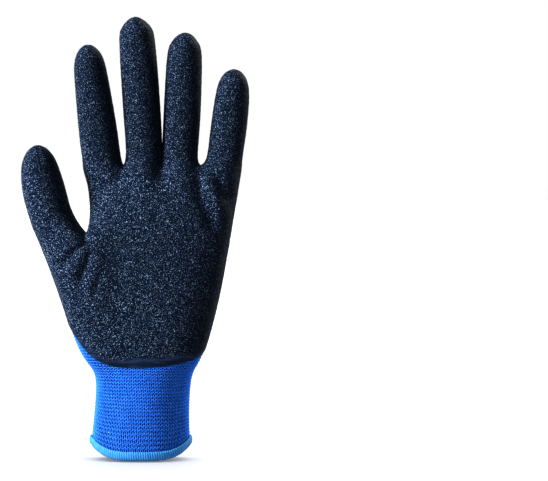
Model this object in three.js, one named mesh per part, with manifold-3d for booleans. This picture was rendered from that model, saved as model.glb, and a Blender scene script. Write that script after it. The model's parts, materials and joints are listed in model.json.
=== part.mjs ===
// Knitted work glove with a latex grip coating, left hand, in the form that a hand gives it.
// Millimetres. +Z runs from the wrist opening to the fingertips, the palm faces -Y, the thumb lies to -X.
// The knit's outer face is a smooth surface over a coarse cage of sections; every wall is an offset of it.
import * as THREE from 'three';
import Module from 'manifold-3d';

const wasm = await Module();
wasm.setup();

// Lengths along the glove
const cuffLength = 44; // from the bottom of the hem to the wrist
const handLength = 119.5; // from the wrist to the crotches of the fingers
const fingerLength = 86; // free length of the middle finger
const thumbLength = 51.5; // free length of the thumb
// Widths and depths, across the knit
const cuffWidth = 52.4;
const cuffDepth = 38;
const palmWidth = 86;
const palmDepth = 31;
const fingerWidth = 18.8;
const fingerDepth = 17;
// Walls
const knitWall = 1.3;
const coatingThickness = 0.75;
const coatingGap = 0.3; // between the knit and the coating
const seamGap = 0.3; // between the hand and the cuff, and between the cuff and its hem
// Hem: thread wrapped over the cuff's edge
const hemHeight = 5.2;
const hemThread = 1.3;
const hemRise = 6.5; // how much higher the edge stands at the sides than at its middle

const cuffRows = [
  // up: share of the way from the knitted edge to the wrist; width, depth: shares of the cuff's;
  // shift: towards +X, share of its width
  { up: 0, width: 1.015, depth: 1.01, shift: 0 },
  { up: 0.45, width: 1, depth: 1, shift: 0 },
  { up: 1, width: 1, depth: 0.97, shift: 0.02 },
];

const handRows = [
  // up: share of the hand's length; left, right: shares of the palm's width; front, back: shares of its
  // depth; thumb: how far the thumb's side lies towards the palm, share of the palm's depth
  { up: 0.08, left: -0.335, right: 0.351, front: 0.58, back: 0.53, thumb: 0.02 },
  { up: 0.19, left: -0.424, right: 0.415, front: 0.6, back: 0.5, thumb: 0.05 },
  { up: 0.44, left: -0.551, right: 0.505, front: 0.59, back: 0.475, thumb: 0.12 },
  { up: 0.69, left: -0.686, right: 0.562, front: 0.53, back: 0.45, thumb: 0.16 },
];

const palmRows = [
  // Above the thumb's crotch; valley: how much of the depth is lost between two fingers
  { up: 0.84, left: -0.318, right: 0.597, front: 0.485, back: 0.435, valley: 0.02 },
  { up: 0.985, left: -0.362, right: 0.63, front: 0.4, back: 0.38, valley: 0.3 },
];

const columns = [
  // Share of the way across, from the thumb's side, at the thumb's crotch and at the fingers' crotches
  { atThumb: 0.033 },
  { atThumb: 0.126 },
  { atThumb: 0.251, atFingers: 0.036 },
  { atThumb: 0.344, atFingers: 0.123 },
  { atThumb: 0.442, atFingers: 0.246 },
  { atThumb: 0.54, atFingers: 0.37 },
  { atThumb: 0.637, atFingers: 0.495 },
  { atThumb: 0.735, atFingers: 0.617 },
  { atThumb: 0.837, atFingers: 0.753 },
  { atThumb: 0.921, atFingers: 0.884 },
  { atThumb: 0.974, atFingers: 0.965 },
];

const digits = [
  // root: centre, share of the palm's width; length, width: shares; rootLean, tipLean: degrees towards +X;
  // bend: forward travel of the tip, share of the length; tip, taper: length and width of the rounded end,
  // shares; strip, stripShift: half width of the bare strip on the back and its shift towards +X, shares of
  // the digit's half width
  {
    name: 'thumb', root: -0.545, length: 1, width: 1.17, rootLean: -22, tipLean: -3, bend: 0.16, taper: 1,
  },
  {
    name: 'index', root: -0.251, length: 0.815, width: 1.03, rootLean: -9, tipLean: -6.5, bend: 0.11,
    tip: 1.1, taper: 0.88, strip: 0.63, stripShift: -0.1,
  },
  {
    name: 'middle', root: 0.01, length: 1, width: 1, rootLean: -1, tipLean: -6, bend: 0.09, tip: 1,
    taper: 0.98, strip: 0.75, stripShift: 0,
  },
  {
    name: 'ring', root: 0.243, length: 0.895, width: 0.99, rootLean: 3, tipLean: 2, bend: 0.1, tip: 1.05,
    taper: 0.97, strip: 0.73, stripShift: 0.04,
  },
  {
    name: 'little', root: 0.529, length: 0.65, width: 0.96, rootLean: 9, tipLean: 4, bend: 0.13, tip: 1.1,
    taper: 0.97, strip: 0.57, stripShift: 0.22,
  },
];

const thumbRows = [
  // along: share of the digit's length; belowTip: distance in digit widths instead
  { along: 0.15, width: 1.07, depth: 1.15 },
  { along: 0.4, width: 1.01, depth: 1.04 },
  { along: 0.66, width: 0.93, depth: 0.94 },
  { along: 0.87, width: 0.67, depth: 0.7 },
];

const fingerRows = [
  { along: 0.07, width: 0.9, depth: 0.96 },
  { along: 0.3, width: 0.985, depth: 1 },
  { belowTip: 0.95, width: 1, depth: 0.97 },
  { belowTip: 0.3, width: 0.76, depth: 0.78 },
];

// Where the knit stays bare: the back of the hand with a strip up each finger, and all that is below the
// palm's edge
const stripTop = 1.05; // from a fingertip to the top of its strip, in digit widths
const stripRows = [
  // down: distance below the strip's top, in digit widths; half: share of the strip's half width
  { down: 0, half: 0 },
  { down: 0.05, half: 0.28 },
  { down: 0.2, half: 0.5 },
  { down: 0.5, half: 0.72 },
  { down: 0.95, half: 0.9 },
  { down: 1.6, half: 1 },
];
const webEdge = { up: 0.992, half: 0.035 }; // bottom of the coating between two fingers, and half its width
const thumbSideEdge = [
  // across: share of the palm's width; up: share of the hand's length. From the thumb's outer side, round
  // the coating's tail below the thumb's crotch, to the index finger
  { across: -1, up: 0.86 },
  { across: -0.74, up: 0.853 },
  { across: -0.645, up: 0.79 },
  { across: -0.585, up: 0.69 },
  { across: -0.49, up: 0.605 },
  { across: -0.425, up: 0.567 },
  { across: -0.388, up: 0.62 },
  { across: -0.362, up: 0.71 },
  { across: -0.33, up: 0.83 },
  { across: -0.34, up: 0.93 },
];
const thumbTail = { across: -0.41, reach: 0.13 }; // left of it, the edge follows the thumb's side forward
const littleSideEdge = [
  { across: 0.607, up: 0.97 },
  { across: 0.583, up: 0.88 },
  { across: 0.547, up: 0.69 },
  { across: 0.53, up: 0.48 },
  { across: 0.7, up: 0.4 },
];
const palmEdgeStart = 0.12; // how far behind the middle the palm's edge is cut, share of the palm's depth
const palmEdge = [
  { across: -0.7, up: 0.31 },
  { across: -0.48, up: 0.258 },
  { across: -0.4, up: 0.178 },
  { across: -0.335, up: 0.122 },
  { across: -0.24, up: 0.084 },
  { across: -0.15, up: 0.07 },
  { across: 0.02, up: 0.065 },
  { across: 0.19, up: 0.08 },
  { across: 0.32, up: 0.1 },
  { across: 0.39, up: 0.123 },
  { across: 0.6, up: 0.2 },
];

const folds = [
  // Ridges and hollows of the palm. from, to: across in palm widths, up in hand lengths; width: share of
  // the palm's width; rise: height in knit walls
  { from: [0.37, 0.97], to: [0.46, 0.72], width: 0.07, rise: 0.9 },
  { from: [0.55, 0.93], to: [0.56, 0.78], width: 0.06, rise: -0.9 },
  { from: [-0.36, 0.68], to: [-0.52, 0.58], width: 0.06, rise: -1.1 },
  { from: [-0.35, 0.62], to: [-0.42, 0.46], width: 0.06, rise: -1 },
];

const edgeHeight = hemThread + seamGap; // the cuff's knitted edge above the hem's bottom
const crotchHeight = cuffLength + handLength;
const thumbRow = handRows[handRows.length - 1];
const thumbCrotchHeight = cuffLength + handLength * thumbRow.up;
const cuffSquareness = 2.1; // 2 is an ellipse, more is squarer
const palmSquareness = 2.6;
const digitSquareness = 2.2;
const thumbSideFade = { full: 0.1, none: 0.42 }; // shares of the way across between which it turns forward
const columnSettling = 1.6; // how fast the columns leave their even spacing on the cuff
const thumbWebForward = 0.09; // the thumb's web lies forward of the middle, share of the palm's depth
const thumbWebLift = 0.1; // the webs stand above their rows, in finger widths
const fingerWebLift = 0.05;
const foldedSide = -0.2; // folds lie where the surface faces the palm at least this much

const { smoothstep } = THREE.MathUtils;
const mix = (a, b, t) => a + (b - a) * t;
const rounding = (share, power) => (1 - Math.abs(2 * share - 1) ** power) ** (1 / power);
const signedPower = (value, power) => Math.sign(value) * Math.abs(value) ** power;

// The cage: points and quads that face outwards, each quad with the name of the piece that it belongs to
const points = [];
const quads = [];

function addPoint(x, y, z) {
  return points.push(new THREE.Vector3(x, y, z)) - 1;
}

function addBand(lower, upper, piece) {
  lower.forEach((corner, k) => {
    const next = (k + 1) % lower.length;
    quads.push({ corners: [corner, lower[next], upper[next], upper[k]], piece });
  });
}

// One ring of the body, counter-clockwise from above: the right side, the back, the left side, the palm.
// across(j) gives a column's share of the way across, and point(share, side) its place
function bodyRing(across, point, first = 0) {
  const used = columns.map((_, j) => j).slice(first);
  const front = used.map((j) => addPoint(...point(across(j), -1, j)));
  const back = used.map((j) => addPoint(...point(across(j), 1, j)));
  const right = addPoint(...point(1, 0));
  const left = addPoint(...point(0, 0));
  return { front, back, left, right, ring: [right, ...back.toReversed(), left, ...front] };
}

// Columns spread evenly round an ellipse, as on the cuff
const evenly = (j) => (1 - Math.cos((Math.PI * (j + 1)) / (columns.length + 1))) / 2;

const cuffRings = cuffRows.map((row) => {
  const place = (share, side) => {
    const x = cuffWidth * ((share - 0.5) * row.width + row.shift);
    const y = (side * rounding(share, cuffSquareness) * cuffDepth * row.depth) / 2;
    const rise = hemRise * (2 * share - 1) ** 2 * (1 - row.up) ** 2;
    return [x, y, mix(edgeHeight, cuffLength, row.up) + rise];
  };
  return bodyRing(evenly, place);
});

const handRings = handRows.map((row) => {
  const settled = Math.min(1, (row.up / thumbRow.up) * columnSettling);
  const place = (share, side) => {
    const x = palmWidth * mix(row.left, row.right, share);
    const forward = row.thumb * palmDepth * smoothstep(-share, -thumbSideFade.none, -thumbSideFade.full);
    const depth = palmDepth * (side < 0 ? row.front : row.back);
    const y = side * depth * rounding(share, palmSquareness) - forward;
    return [x, y, cuffLength + handLength * row.up];
  };
  return bodyRing((j) => mix(evenly(j), columns[j].atThumb, settled), place);
});

const firstPalmColumn = 2;
const webColumns = [4, 6, 8];
const lastHand = handRings[handRings.length - 1];
const thumbWeb = addPoint(
  palmWidth * mix(thumbRow.left, thumbRow.right, columns[firstPalmColumn].atThumb),
  -thumbWebForward * palmDepth,
  thumbCrotchHeight + thumbWebLift * fingerWidth,
);
const palmBase = {
  front: lastHand.front.slice(firstPalmColumn),
  back: lastHand.back.slice(firstPalmColumn),
  left: thumbWeb,
  right: lastHand.right,
};
palmBase.ring = [palmBase.right, ...palmBase.back.toReversed(), thumbWeb, ...palmBase.front];

const palmRings = palmRows.map((row) => {
  const settled = (row.up - thumbRow.up) / (1 - thumbRow.up);
  const across = (j) => {
    const { atThumb, atFingers } = columns[j];
    const first = columns[firstPalmColumn].atThumb;
    return mix((atThumb - first) / (1 - first), atFingers, settled);
  };
  const place = (share, side, j) => {
    const valley = webColumns.includes(j) ? 1 - row.valley : 1;
    const depth = palmDepth * (side < 0 ? row.front : row.back) * valley;
    const x = palmWidth * mix(row.left, row.right, share);
    return [x, side * depth * rounding(share, palmSquareness), cuffLength + handLength * row.up];
  };
  return bodyRing(across, place, firstPalmColumn);
});

addBand(cuffRings[0].ring, cuffRings[1].ring, 'knit_cuff');
addBand(cuffRings[1].ring, cuffRings[2].ring, 'knit_cuff');
[cuffRings[2], ...handRings].forEach((ring, k, rings) => {
  if (k) addBand(rings[k - 1].ring, ring.ring, 'knit_hand');
});
[palmBase, ...palmRings].forEach((ring, k, rings) => {
  if (k) addBand(rings[k - 1].ring, ring.ring, 'knit_hand');
});

// A digit's own frame at a share of its length: its centre, its direction and its two cross axes
function digitFrame(digit, along) {
  const isThumb = digit.name === 'thumb';
  const length = digit.length * (isThumb ? thumbLength : fingerLength);
  const slope = (angle) => Math.tan(THREE.MathUtils.degToRad(angle));
  const base = isThumb ? thumbCrotchHeight : crotchHeight;
  const start = isThumb ? -thumbRow.thumb * palmDepth : 0;
  const meanSlope = slope(digit.rootLean) + ((slope(digit.tipLean) - slope(digit.rootLean)) * along) / 2;
  const centre = new THREE.Vector3(
    palmWidth * digit.root + meanSlope * length * along,
    start - digit.bend * length * along ** 2,
    base + length * along,
  );
  const direction = new THREE.Vector3(
    mix(slope(digit.rootLean), slope(digit.tipLean), along),
    -2 * digit.bend * along,
    1,
  ).normalize();
  const sideways = new THREE.Vector3(0, 1, 0).cross(direction).normalize();
  const backwards = direction.clone().cross(sideways);
  return { centre, direction, sideways, backwards, length, width: digit.width * fingerWidth };
}

// Share of a digit's length that lies some digit widths below its tip
function shareBelowTip(digit, widths) {
  const { length, width } = digitFrame(digit, 0);
  return 1 - (widths * width) / length;
}

const ringCorners = 8;
function addDigit(digit, root) {
  let lower = root;
  for (const row of digit.name === 'thumb' ? thumbRows : fingerRows) {
    const along = row.along ?? shareBelowTip(digit, row.belowTip * digit.tip);
    const { centre, sideways, backwards, width } = digitFrame(digit, along);
    const halfWidth = (width * row.width * (row.along ? 1 : digit.taper)) / 2;
    const halfDepth = (digit.width * fingerDepth * row.depth) / 2;
    const upper = Array.from({ length: ringCorners }, (_, k) => {
      const turn = (2 * Math.PI * k) / ringCorners;
      const at = centre.clone();
      at.addScaledVector(sideways, halfWidth * signedPower(Math.cos(turn), 2 / digitSquareness));
      at.addScaledVector(backwards, halfDepth * signedPower(Math.sin(turn), 2 / digitSquareness));
      return addPoint(...at);
    });
    addBand(lower, upper, 'knit_hand');
    lower = upper;
  }
  const apex = addPoint(...digitFrame(digit, 1).centre);
  for (let k = 0; k < ringCorners; k += 2) {
    const last = (k + 2) % ringCorners;
    quads.push({ corners: [lower[k], lower[k + 1], lower[last], apex], piece: 'knit_hand' });
  }
}

// The saddles between the fingers, and the root ring of each digit
const topRing = palmRings[palmRings.length - 1];
const saddles = webColumns.map((j) => {
  const x = palmWidth * mix(palmRows.at(-1).left, palmRows.at(-1).right, columns[j].atFingers);
  return addPoint(x, 0, crotchHeight + fingerWebLift * fingerWidth);
});
const { front: bodyFront, back: bodyBack } = lastHand;
addDigit(digits[0], [
  thumbWeb,
  ...bodyBack.slice(0, firstPalmColumn + 1).toReversed(),
  lastHand.left,
  ...bodyFront.slice(0, firstPalmColumn + 1),
]);
const webPlaces = saddles.map((index) => points[index].x);
const sides = [topRing.left, ...saddles, topRing.right];
digits.slice(1).forEach((digit, f) => {
  const back = topRing.back.slice(2 * f, 2 * f + 3).toReversed();
  const front = topRing.front.slice(2 * f, 2 * f + 3);
  addDigit(digit, [sides[f + 1], ...back, sides[f], ...front]);
});

// One step of Catmull-Clark: each quad becomes four, and the first points stay the first
function subdivide(net) {
  const total = () => ({ sum: new THREE.Vector3(), count: 0 });
  const add = (item, point) => {
    item.sum.add(point);
    item.count += 1;
  };
  const faceSums = net.points.map(total);
  const edgeSums = net.points.map(total);
  const rimSums = net.points.map(total);
  const edges = new Map();
  const centres = net.quads.map(({ corners }) => {
    const centre = new THREE.Vector3();
    corners.forEach((c) => centre.addScaledVector(net.points[c], 1 / 4));
    corners.forEach((c, k) => {
      const next = corners[(k + 1) % 4];
      const key = c < next ? `${c} ${next}` : `${next} ${c}`;
      if (!edges.has(key)) edges.set(key, { ends: [c, next], faces: [] });
      edges.get(key).faces.push(centre);
      add(faceSums[c], centre);
    });
    return centre;
  });
  const made = net.points.map((p) => p.clone());
  for (const edge of edges.values()) {
    const middle = net.points[edge.ends[0]].clone().add(net.points[edge.ends[1]]).multiplyScalar(0.5);
    edge.ends.forEach((end) => {
      add(edgeSums[end], middle);
      if (edge.faces.length === 1) add(rimSums[end], middle);
    });
    const at = middle.clone();
    if (edge.faces.length === 2) {
      at.add(edge.faces[0].clone().add(edge.faces[1]).multiplyScalar(0.5)).multiplyScalar(0.5);
    }
    edge.index = made.push(at) - 1;
  }
  net.points.forEach((p, i) => {
    if (rimSums[i].count) {
      made[i].copy(rimSums[i].sum).divideScalar(rimSums[i].count).add(p).multiplyScalar(0.5);
      return;
    }
    const n = faceSums[i].count;
    made[i].copy(p).multiplyScalar(n - 3);
    made[i].addScaledVector(faceSums[i].sum, 1 / n).addScaledVector(edgeSums[i].sum, 2 / n).divideScalar(n);
  });
  const children = net.quads.flatMap(({ corners, piece }, q) => {
    const centre = made.push(centres[q]) - 1;
    const between = corners.map((c, k) => {
      const next = corners[(k + 1) % 4];
      return edges.get(c < next ? `${c} ${next}` : `${next} ${c}`).index;
    });
    return corners.map((c, k) => ({ corners: [c, between[k], centre, between[(k + 3) % 4]], piece }));
  });
  return { points: made, quads: children };
}

// Moves the cage until its smooth surface passes through the sections' own points
function fitted(cage, rounds = 8) {
  let moved = cage.points;
  for (let round = 0; round < rounds; round += 1) {
    const smooth = subdivide(subdivide({ points: moved, quads: cage.quads })).points;
    moved = moved.map((p, i) => p.clone().add(cage.points[i]).sub(smooth[i]));
  }
  return { points: moved, quads: cage.quads };
}

function pointNormals({ points: at, quads: faces }) {
  const normals = at.map(() => new THREE.Vector3());
  for (const { corners } of faces) {
    const [a, b, c, d] = corners.map((k) => at[k]);
    const normal = c.clone().sub(a).cross(d.clone().sub(b));
    corners.forEach((k) => normals[k].add(normal));
  }
  return normals.map((n) => n.normalize());
}

// Height of the palm's folds at a point: each is a bump with a bell section that fades at both ends
function foldHeight(point, normal) {
  if (normal.y > foldedSide) return 0;
  return folds.reduce((height, fold) => {
    const from = new THREE.Vector2(fold.from[0] * palmWidth, cuffLength + fold.from[1] * handLength);
    const to = new THREE.Vector2(fold.to[0] * palmWidth, cuffLength + fold.to[1] * handLength);
    const run = to.clone().sub(from);
    const offset = new THREE.Vector2(point.x, point.z).sub(from);
    const along = THREE.MathUtils.clamp(offset.dot(run) / run.lengthSq(), 0, 1);
    const away = offset.addScaledVector(run, -along).length() / (fold.width * palmWidth);
    return height + fold.rise * knitWall * Math.exp(-(away ** 2));
  }, 0);
}

// The surface: one step of subdivision, with its points moved to where further steps would bring them
const cage = fitted({ points, quads });
const surface = subdivide(cage);
const finer = subdivide(subdivide(surface));
surface.points = surface.points.map((_, i) => finer.points[i]);
const plainNormals = pointNormals(surface);
surface.points.forEach((p, i) => p.addScaledVector(plainNormals[i], foldHeight(p, plainNormals[i])));
const normals = pointNormals(surface);

// Points that the hand and the cuff share
const wrist = new Set();
const piecesAt = new Map();
for (const { corners, piece } of surface.quads) {
  for (const corner of corners) {
    if (piecesAt.has(corner) && piecesAt.get(corner) !== piece) wrist.add(corner);
    piecesAt.set(corner, piece);
  }
}

// A wall over some of the surface's quads, between two offsets of it, closed along its rims. Its wrist edge
// stands off by lift
function wall(piece, outer, inner, lift) {
  const used = new Map();
  const positions = [];
  const place = (index, offset) => {
    const key = `${index} ${offset}`;
    if (!used.has(key)) {
      const at = surface.points[index].clone().addScaledVector(normals[index], offset);
      if (wrist.has(index)) at.z += lift;
      used.set(key, positions.push(...at) / 3 - 1);
    }
    return used.get(key);
  };
  const triangles = [];
  const addQuad = (a, b, c, d) => triangles.push(a, b, c, a, c, d);
  const faces = surface.quads.filter((quad) => quad.piece === piece);
  for (const { corners } of faces) {
    const [a, b, c, d] = corners;
    addQuad(...[a, b, c, d].map((k) => place(k, outer)));
    addQuad(...[a, d, c, b].map((k) => place(k, inner)));
  }
  for (const [a, b] of rimEdges(faces)) {
    addQuad(place(b, outer), place(a, outer), place(a, inner), place(b, inner));
  }
  return meshGeometry(positions, triangles);
}

// The directed edges that only one of the quads has
function rimEdges(faces) {
  const rims = new Map();
  for (const { corners } of faces) {
    corners.forEach((corner, k) => {
      const next = corners[(k + 1) % 4];
      if (!rims.delete(`${next} ${corner}`)) rims.set(`${corner} ${next}`, [corner, next]);
    });
  }
  return [...rims.values()];
}

function meshGeometry(positions, triangles) {
  const geometry = new THREE.BufferGeometry();
  geometry.setAttribute('position', new THREE.Float32BufferAttribute(positions, 3));
  geometry.setIndex(triangles);
  return geometry;
}

function solidOf(geometry) {
  const vertProperties = new Float32Array(geometry.getAttribute('position').array);
  const triVerts = new Uint32Array(geometry.index.array);
  return new wasm.Manifold(new wasm.Mesh({ numProp: 3, vertProperties, triVerts }));
}

function geometryOf(solid) {
  const mesh = solid.getMesh();
  return meshGeometry([...mesh.vertProperties], [...mesh.triVerts]);
}

// A prism along Y over an outline given from left to right over the top. Each outline point starts at its
// own y
function prism(outline, farY) {
  const corners = outline.toReversed();
  const flat = corners.map((p) => new THREE.Vector2(p.x, p.z));
  const count = corners.length;
  const far = corners.map((p) => new THREE.Vector3(p.x, farY, p.z));
  const positions = [...corners, ...far].flatMap((p) => [...p]);
  const facesBack = corners[0].y > farY;
  const triangles = [];
  const add = (a, b, c) => triangles.push(...(facesBack ? [c, b, a] : [a, b, c]));
  for (const [a, b, c] of THREE.ShapeUtils.triangulateShape(flat, [])) {
    add(a, b, c);
    add(c + count, b + count, a + count);
  }
  for (let k = 0; k < count; k += 1) {
    const next = (k + 1) % count;
    add(k, k + count, next + count);
    add(k, next + count, next);
  }
  return solidOf(meshGeometry(positions, triangles));
}

// How far the thumb's side of the palm lies forward at a height
function sideForward(up) {
  const above = handRows.findIndex((row) => row.up >= up);
  if (above === -1) return palmDepth * thumbRow.thumb;
  const [low, high] = [handRows[above - 1] ?? { up: 0, thumb: 0 }, handRows[above]];
  return palmDepth * mix(low.thumb, high.thumb, (up - low.up) / (high.up - low.up));
}

function edgePoint({ across, up }, y) {
  return new THREE.Vector3(palmWidth * across, y, cuffLength + handLength * up);
}

// The edge of a digit's bare strip on one side, from its root to its top
function stripEdge(digit, side) {
  return stripRows.toReversed().map(({ down, half }) => {
    const { centre, sideways, width } = digitFrame(digit, shareBelowTip(digit, stripTop + down));
    const away = ((digit.stripShift + side * half * digit.strip) * width) / 2;
    return centre.clone().addScaledVector(sideways, away);
  });
}

function bareBack() {
  const fingers = digits.slice(1);
  const strips = fingers.flatMap((digit, f) => {
    const strip = [...stripEdge(digit, -1), ...stripEdge(digit, 1).toReversed().slice(1)];
    if (f === fingers.length - 1) return strip;
    const web = webPlaces[f] / palmWidth;
    return [
      ...strip,
      edgePoint({ across: web - webEdge.half, up: webEdge.up }, 0),
      edgePoint({ across: web + webEdge.half, up: webEdge.up }, 0),
    ];
  });
  const thumbSide = thumbSideEdge.map((p) => {
    const turned = smoothstep(-p.across, -thumbTail.across, -thumbTail.across + thumbTail.reach);
    return edgePoint(p, -sideForward(p.up) * turned);
  });
  const outline = [...thumbSide, ...strips, ...littleSideEdge.map((p) => edgePoint(p, 0))];
  const below = -hemHeight;
  outline.push(new THREE.Vector3(outline.at(-1).x, 0, below));
  outline.unshift(new THREE.Vector3(outline[0].x, 0, below));
  return prism(outline, 2 * palmDepth);
}

function belowPalmEdge() {
  const outline = palmEdge.map((p) => edgePoint(p, palmEdgeStart * palmDepth));
  const below = -hemHeight;
  outline.push(new THREE.Vector3(outline.at(-1).x, outline[0].y, below));
  outline.unshift(new THREE.Vector3(outline[0].x, outline[0].y, below));
  return prism(outline, -2 * palmDepth);
}

function coating() {
  const whole = solidOf(wall('knit_hand', coatingGap + coatingThickness, coatingGap, 0));
  return geometryOf(whole.subtract(bareBack()).subtract(belowPalmEdge()));
}

// The hem: a channel of wrapped thread over the cuff's knitted edge, closed into a ring
function hem() {
  const nextOf = new Map(rimEdges(surface.quads));
  const above = new Map();
  for (const { corners } of surface.quads) {
    corners.forEach((corner, k) => {
      const next = corners[(k + 1) % 4];
      if (nextOf.has(corner) && !nextOf.has(next)) above.set(corner, next);
    });
  }
  const out = seamGap + hemThread;
  const legTop = hemHeight - out;
  const within = -knitWall - out;
  const section = [
    [out, legTop], [out, -seamGap], [out - hemThread, -out], [within + hemThread, -out], [within, -seamGap],
    [within, legTop], [-knitWall - seamGap, legTop], [-knitWall - seamGap, -seamGap],
    [seamGap, -seamGap], [seamGap, legTop],
  ];
  const loop = [nextOf.keys().next().value];
  while (loop.length < nextOf.size) loop.push(nextOf.get(loop.at(-1)));
  const positions = loop.flatMap((corner) => {
    const edge = surface.points[corner];
    const up = surface.points[above.get(corner)].clone().sub(edge).normalize();
    return section.flatMap(([offset, height]) => [
      ...edge.clone().addScaledVector(normals[corner], offset).addScaledVector(up, height),
    ]);
  });
  const triangles = loop.flatMap((_, ring) => section.flatMap((__, k) => {
    const here = ring * section.length;
    const there = ((ring + 1) % loop.length) * section.length;
    const next = (k + 1) % section.length;
    return [here + k, there + next, there + k, here + k, here + next, there + next];
  }));
  return meshGeometry(positions, triangles);
}

const materials = {
  knit: new THREE.MeshStandardMaterial({ color: '#2b5fbd', roughness: 0.9, metalness: 0 }),
  cuffKnit: new THREE.MeshStandardMaterial({ color: '#1f55b9', roughness: 0.9, metalness: 0 }),
  hemThread: new THREE.MeshStandardMaterial({ color: '#3d8fd2', roughness: 0.85, metalness: 0 }),
  latex: new THREE.MeshStandardMaterial({ color: '#1c222e', roughness: 0.45, metalness: 0 }),
};

const glove = new THREE.Group();
function addPiece(name, geometry, material) {
  geometry.computeVertexNormals();
  const mesh = new THREE.Mesh(geometry, material);
  mesh.name = name;
  glove.add(mesh);
}

addPiece('knit_hand', wall('knit_hand', 0, -knitWall, seamGap / 2), materials.knit);
addPiece('knit_cuff', wall('knit_cuff', 0, -knitWall, -seamGap / 2), materials.cuffKnit);
addPiece('cuff_hem', hem(), materials.hemThread);
addPiece('latex_coating', coating(), materials.latex);

export default glove;
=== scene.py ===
"""Looks of a knitted work glove with a latex grip coating: yarn loops, thread hem, crinkled rubber, stage."""
import json
import math
from collections import namedtuple

import bpy
import numpy as np
from bpy.props import FloatProperty, FloatVectorProperty, PointerProperty
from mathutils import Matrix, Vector

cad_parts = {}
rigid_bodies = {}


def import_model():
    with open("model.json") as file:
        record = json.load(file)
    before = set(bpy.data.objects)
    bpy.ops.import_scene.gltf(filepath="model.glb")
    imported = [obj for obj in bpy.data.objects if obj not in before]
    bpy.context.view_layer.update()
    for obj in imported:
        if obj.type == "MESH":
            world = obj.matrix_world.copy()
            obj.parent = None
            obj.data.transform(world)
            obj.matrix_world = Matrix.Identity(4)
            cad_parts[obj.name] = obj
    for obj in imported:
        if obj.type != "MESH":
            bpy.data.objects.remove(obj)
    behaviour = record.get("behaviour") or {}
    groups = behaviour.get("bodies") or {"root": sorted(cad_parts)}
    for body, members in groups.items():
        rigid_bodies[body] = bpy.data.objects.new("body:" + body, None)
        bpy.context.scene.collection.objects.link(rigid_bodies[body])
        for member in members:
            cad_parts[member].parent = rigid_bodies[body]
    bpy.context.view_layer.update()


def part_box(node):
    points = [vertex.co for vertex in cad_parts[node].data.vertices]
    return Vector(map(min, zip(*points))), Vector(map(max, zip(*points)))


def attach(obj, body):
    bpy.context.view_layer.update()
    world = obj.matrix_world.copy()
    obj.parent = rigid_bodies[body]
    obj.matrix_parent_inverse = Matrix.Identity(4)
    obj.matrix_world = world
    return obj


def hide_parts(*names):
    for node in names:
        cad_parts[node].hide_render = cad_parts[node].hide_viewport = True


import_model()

bl_info = {
    "name": "Coated Grip Glove",
    "version": (1, 0, 0),
    "blender": (4, 5, 0),
    "location": "3D View > Sidebar > Glove",
    "description": "Builds a knitted work glove with a crinkled latex coating, piece by piece",
    "category": "Object",
}

MM = 0.001

# Sizes in millimetres; the cuff's length is read from the frame
SEAM_GAP = 0.3
HEM_THREAD = 1.3
HEM_HEIGHT = 5.2
HEM_RISE = 8
KNIT_WALL = 1.3
CUFF_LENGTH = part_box("knit_cuff")[1].z / MM + SEAM_GAP / 2
CUFF_WIDTH = 52.4
CUFF_DEPTH = 38
FINGER_LENGTH = 84.2
THUMB_LENGTH = 49.3
HAND_LENGTH = 119.5
PALM_WIDTH = 86
PALM_DEPTH = 31
FINGER_WIDTH = 18.8
FINGER_DEPTH = 17
CROTCH_HEIGHT = CUFF_LENGTH + HAND_LENGTH


def table(columns, *rows):
    """Rows with named columns."""
    return list(map(namedtuple("Row", columns)._make, rows))


# up: share of the way from the knitted edge to the wrist; width, depth, shift: shares of the cuff's
CUFF_ROWS = table(
    "up width depth shift", (0, 1.05, 1.01, -0.014), (0.45, 1.01, 1, -0.006), (1, 1.01, 0.97, 0.014)
)
# up: share of the hand's length; left, right: of the palm's width; front, back: of its depth;
# thumb: how far the thumb's side lies forward, share of the palm's depth
HAND_ROWS = table(
    "up left right front back thumb",
    (0.08, -0.35, 0.362, 0.58, 0.53, 0.02),
    (0.19, -0.434, 0.423, 0.6, 0.5, 0.05),
    (0.44, -0.551, 0.511, 0.59, 0.475, 0.12),
    (0.69, -0.686, 0.57, 0.53, 0.45, 0.16),
)
PALM_ROWS = table(
    "up left right front back valley",
    (0.84, -0.332, 0.605, 0.485, 0.435, 0.02),
    (0.985, -0.372, 0.637, 0.4, 0.38, 0.3),
)
# Share of the way across, at the thumb's crotch and, from the third on, at the fingers' crotches
AT_THUMB = np.array([0.033, 0.126, 0.251, 0.344, 0.442, 0.54, 0.637, 0.735, 0.837, 0.921, 0.974])
AT_FINGERS = np.array([0.036, 0.123, 0.246, 0.37, 0.495, 0.617, 0.753, 0.884, 0.965])
# root: centre, share of the palm's width; leans in degrees towards +X; bend: forward travel of the tip;
# strip, strip_shift: half width of the bare strip on the back and its shift, shares of the half width
DIGITS = table(
    "name root length width root_lean tip_lean bend tip taper strip strip_shift",
    ("thumb", -0.55, 1, 1.17, -22, -3, 0.16, 1, 1, 0, 0),
    ("index", -0.257, 0.815, 1.03, -7.5, -7, 0.11, 1.1, 0.88, 0.63, -0.1),
    ("middle", 0.012, 1, 1, -1, -6.2, 0.09, 1, 0.98, 0.75, 0),
    ("ring", 0.243, 0.895, 0.99, 3, 2, 0.1, 1.05, 0.97, 0.73, 0.04),
    ("little", 0.529, 0.65, 0.96, 9, 4, 0.13, 1.1, 0.97, 0.62, 0.25),
)
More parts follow.
